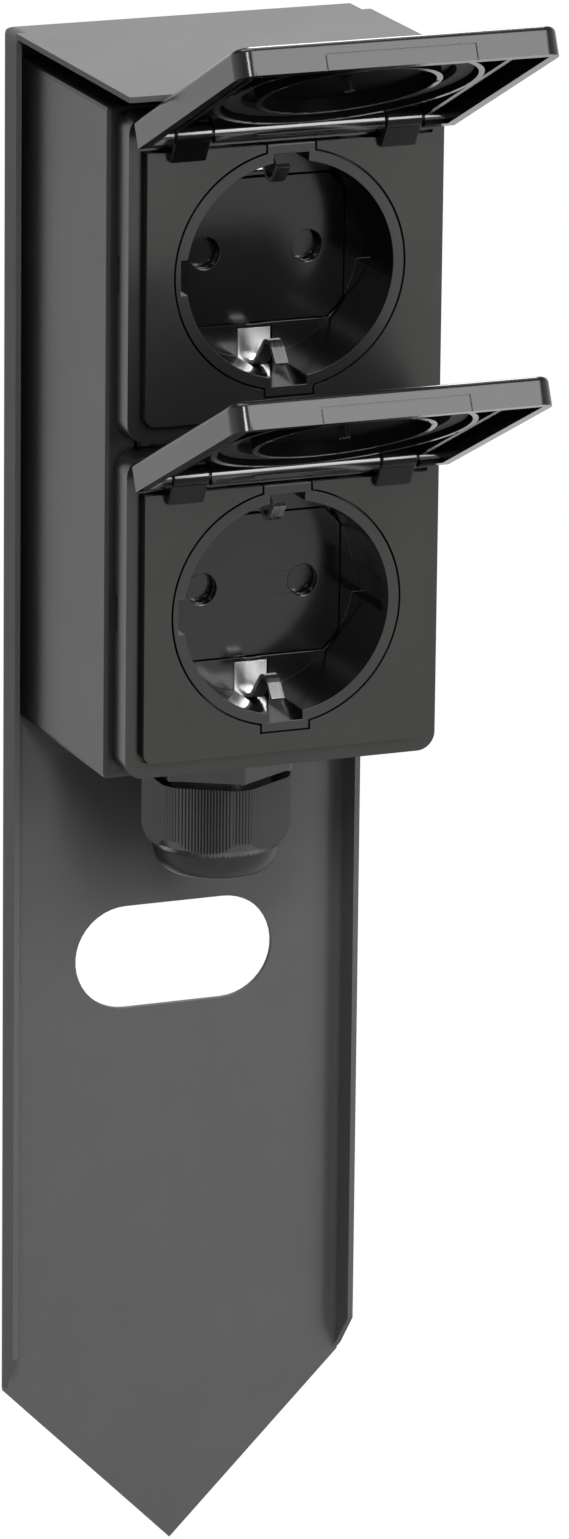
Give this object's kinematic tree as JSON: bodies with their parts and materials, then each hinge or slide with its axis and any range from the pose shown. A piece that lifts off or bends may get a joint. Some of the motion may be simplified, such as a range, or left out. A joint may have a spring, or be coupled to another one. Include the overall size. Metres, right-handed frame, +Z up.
{
  "type": "garden socket post",
  "caption": "Folded sheet-metal ground stake with a small roof, carrying a box with lidded earthed sockets, one above the other, and a cable gland below.",
  "frame": {"origin": "the tip of the stake, on the rear face of the sheet", "axes": "+Z up along the stake, -Y out of the front of the sockets, +X to the right seen from the front"},
  "size_m": [0.0666, 0.1025, 0.3012],
  "materials": {
    "powder_coat": "fine textured matt powder coat, anthracite",
    "front_plastic": "satin moulded plastic, anthracite",
    "well_plastic": "smooth moulded plastic, dark grey",
    "inner_plastic": "moulded plastic, black",
    "gland_plastic": "satin moulded plastic, dark grey",
    "rubber": "matt rubber",
    "spring_steel": "bright nickel-plated strip",
    "zinc_steel": "zinc-plated steel",
    "brass": "bare brass",
    "wire_sleeve": "insulated solid wire"
  },
  "bodies": {
    "post": {"post_sheet": "powder_coat", "box_shell": "powder_coat", "box_screws": "zinc_steel", "gland_body": "gland_plastic", "gland_washer": "rubber", "gland_locknut": "gland_plastic", "gland_seal": "rubber", "link_wires": "wire_sleeve", "lower_gasket": "rubber", "lower_frame": "front_plastic", "lower_hooks": "gland_plastic", "lower_frame_screws": "zinc_steel", "lower_panel": "front_plastic", "lower_well": "well_plastic", "lower_cover": "well_plastic", "lower_base": "inner_plastic", "lower_contacts": "brass", "lower_earth_strap": "spring_steel", "lower_terminal_screws": "zinc_steel", "lower_hinge_pin": "zinc_steel", "upper_gasket": "rubber", "upper_frame": "front_plastic", "upper_hooks": "gland_plastic", "upper_frame_screws": "zinc_steel", "upper_panel": "front_plastic", "upper_well": "well_plastic", "upper_cover": "well_plastic", "upper_base": "inner_plastic", "upper_contacts": "brass", "upper_earth_strap": "spring_steel", "upper_terminal_screws": "zinc_steel", "upper_hinge_pin": "zinc_steel"},
    "lid_lower": {"lower_lid": "front_plastic", "lower_lid_seal": "rubber"},
    "lid_upper": {"upper_lid": "front_plastic", "upper_lid_seal": "rubber"},
    "shutter_lower": {"lower_shutter": "well_plastic"},
    "shutter_upper": {"upper_shutter": "well_plastic"},
    "nut": {"gland_nut": "gland_plastic"}
  },
  "joints": [
    {"name": "lower_lid_hinge", "type": "hinge", "parent": "post", "child": "lid_lower", "pos_m": [0, -0.0558, 0.21695], "axis": [1, 0, 0], "range_deg": [0, 115]},
    {"name": "upper_lid_hinge", "type": "hinge", "parent": "post", "child": "lid_upper", "pos_m": [0, -0.0558, 0.27705], "axis": [1, 0, 0], "range_deg": [0, 115]},
    {"name": "lower_shutter_turn", "type": "hinge", "parent": "post", "child": "shutter_lower", "pos_m": [0, -0.0344, 0.1912], "axis": [0, 1, 0], "range_deg": [0, 40], "stiffness_Nm_per_rad": 0.004, "springref_deg": -11.46},
    {"name": "upper_shutter_turn", "type": "hinge", "parent": "post", "child": "shutter_upper", "pos_m": [0, -0.0344, 0.2513], "axis": [0, 1, 0], "range_deg": [0, 40], "stiffness_Nm_per_rad": 0.004, "springref_deg": -11.46},
    {"name": "gland_nut_turn", "type": "hinge", "parent": "post", "child": "nut", "pos_m": [0, -0.0211, 0.14], "axis": [0, 0, 1], "continuous": true}
  ]
}
